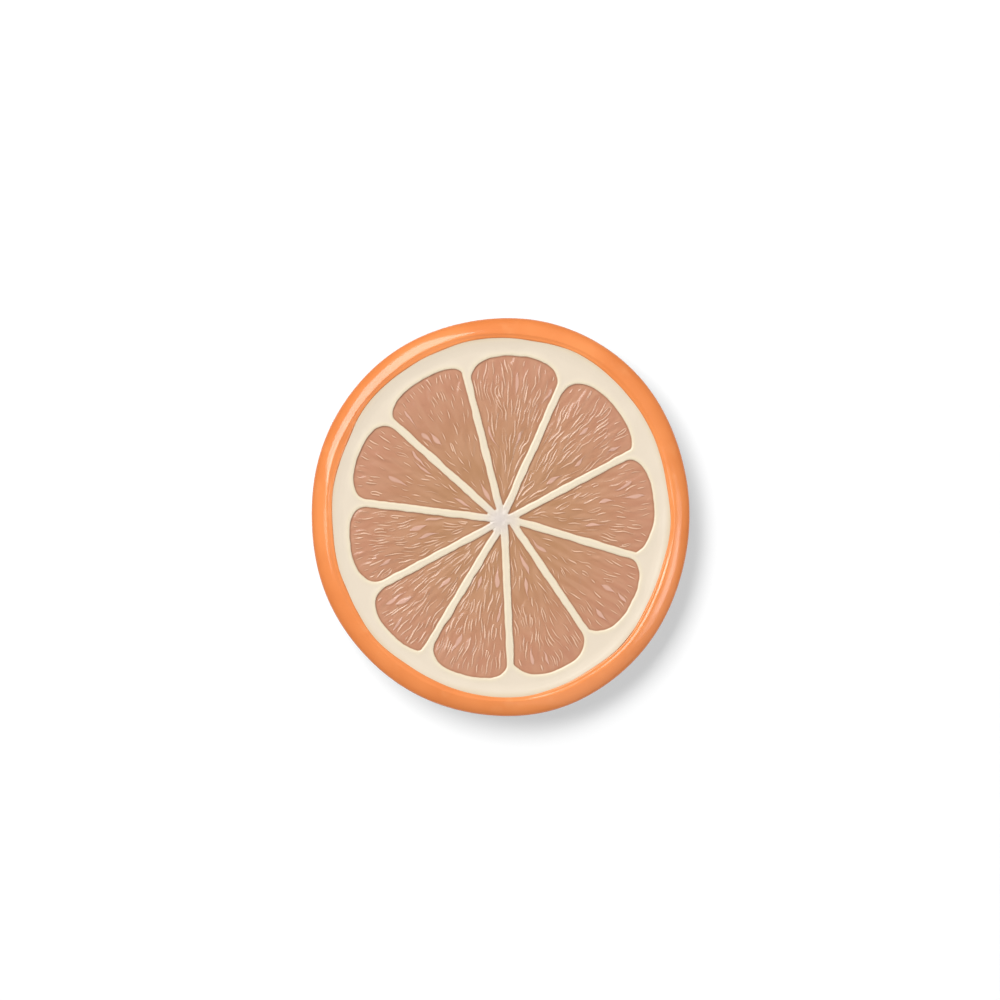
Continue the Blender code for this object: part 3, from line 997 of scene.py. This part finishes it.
def brushedFleshPvc():
    # PVC brushed with thin tan paint and varnished: the paint is pinker towards the rind; painted shade
    # darkens the inner tips, the border and beside the raised lines, and painted highlights lighten the
    # raised lines and leaves; each sac throws its own glint
    material, tree = newMaterial("brushedFleshPvc")
    colour = layColours(tree, fleshPaint)
    grain, depth = fleshPaint["grain"]
    finishGloss(tree, colour, fleshPaint["gloss"], ((blotches(tree, grain, 2), depth),))
    return material


def dress(piece, material):
    piece.data.materials.append(material)
    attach(piece, "root")
    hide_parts("orange_slice")
    piece.visible_diffuse = False  # or its orange glow would tint the floor


dress(shapeRind(), sprayedOrangePvc())
dress(shapePith(), sprayedCreamPvc())
fleshMaterial = brushedFleshPvc()
for index in range(segmentCount):
    dress(shapeFlesh(index), fleshMaterial)


# floor, light and camera

studio = {
    # each softbox: degrees round from the right, above the floor, and that it is rolled by, its
    # width and height in metres, and watts
    "softboxes": {
        "key": (135, 50, 12, 2.3, 1.4, 67.6),
        "keyLow": (126, 39, 0, 2.2, 1.5, 16),
        "keyTail": (174, 58, 0, 1.2, 0.3, 4.5),
        "side": (-14, 46, 0, 1.6, 1.1, 11),
        "sideCore": (-16, 45, 0, 0.9, 0.7, 5),
        "broad": (70, 55, 0, 3, 3, 5),
        "front": (315, 38, 0, 3, 3, 15),
    },
    "castShadow": ("key", "keyLow"),  # the others only soften theirs
    "leaveNoGlint": ("keyLow",),  # it only softens and lengthens the shadow
    "distance": 3,
    "fill": 0.3,
    "floor": {"Base Color": hexToLinear("#F2F2F2"), "Roughness": 0.9, "Specular IOR Level": 0.1},
    "floorSize": 6,
    "viewWidth": 0.2015,  # that the camera takes in at the slice's mid height
    "lens": 100,
    "aim": (-0.0001, 0.0035),
}


def paleFloor():
    size = studio["floorSize"] / 2
    corners = [(-size, -size, 0), (size, -size, 0), (size, size, 0), (-size, size, 0)]
    mesh = bpy.data.meshes.new("floor")
    mesh.from_pydata(corners, [], [(0, 1, 2, 3)])
    floor = bpy.data.objects.new("floor", mesh)
    bpy.context.scene.collection.objects.link(floor)
    material, tree = newMaterial("paintedBoard")
    shader = addNode(tree, "ShaderNodeBsdfPrincipled", studio["floor"])
    addNode(tree, "ShaderNodeOutputMaterial", (), {"Surface": shader.outputs[0]})
    mesh.materials.append(material)


def softbox(name, turn, rise, roll, width, height, power):
    turn, rise = math.radians(turn), math.radians(rise)
    away = Vector((math.cos(turn) * math.cos(rise), math.sin(turn) * math.cos(rise), math.sin(rise)))
    light = bpy.data.lights.new(name, "AREA")
    light.shape = "RECTANGLE"
    light.size, light.size_y = width, height
    light.energy = power
    light.use_shadow = name in studio["castShadow"]
    lamp = bpy.data.objects.new(name, light)
    lamp.visible_glossy = name not in studio["leaveNoGlint"]
    lamp.location = away * studio["distance"]
    rolled = away.to_track_quat("Z", "Y") @ Quaternion((0, 0, 1), math.radians(roll))
    lamp.rotation_euler = rolled.to_euler()
    bpy.context.scene.collection.objects.link(lamp)


def softFill():
    world = bpy.data.worlds.new("studio")
    world.use_nodes = True
    background = world.node_tree.nodes["Background"]
    background.inputs["Color"].default_value = (1, 1, 1, 1)
    background.inputs["Strength"].default_value = studio["fill"]
    bpy.context.scene.world = world


def overheadCamera():
    camera = bpy.data.cameras.new("camera")
    camera.lens = studio["lens"]
    lookDistance = studio["viewWidth"] * camera.lens / camera.sensor_width
    eye = bpy.data.objects.new("camera", camera)
    eye.location = (*studio["aim"], sliceForm["halfThickness"] * mm + lookDistance)
    bpy.context.scene.collection.objects.link(eye)
    bpy.context.scene.camera = eye


paleFloor()
for name, settings in studio["softboxes"].items():
    softbox(name, *settings)
softFill()
overheadCamera()
bpy.context.scene.view_settings.view_transform = "Standard"
print("floor, light and camera set")
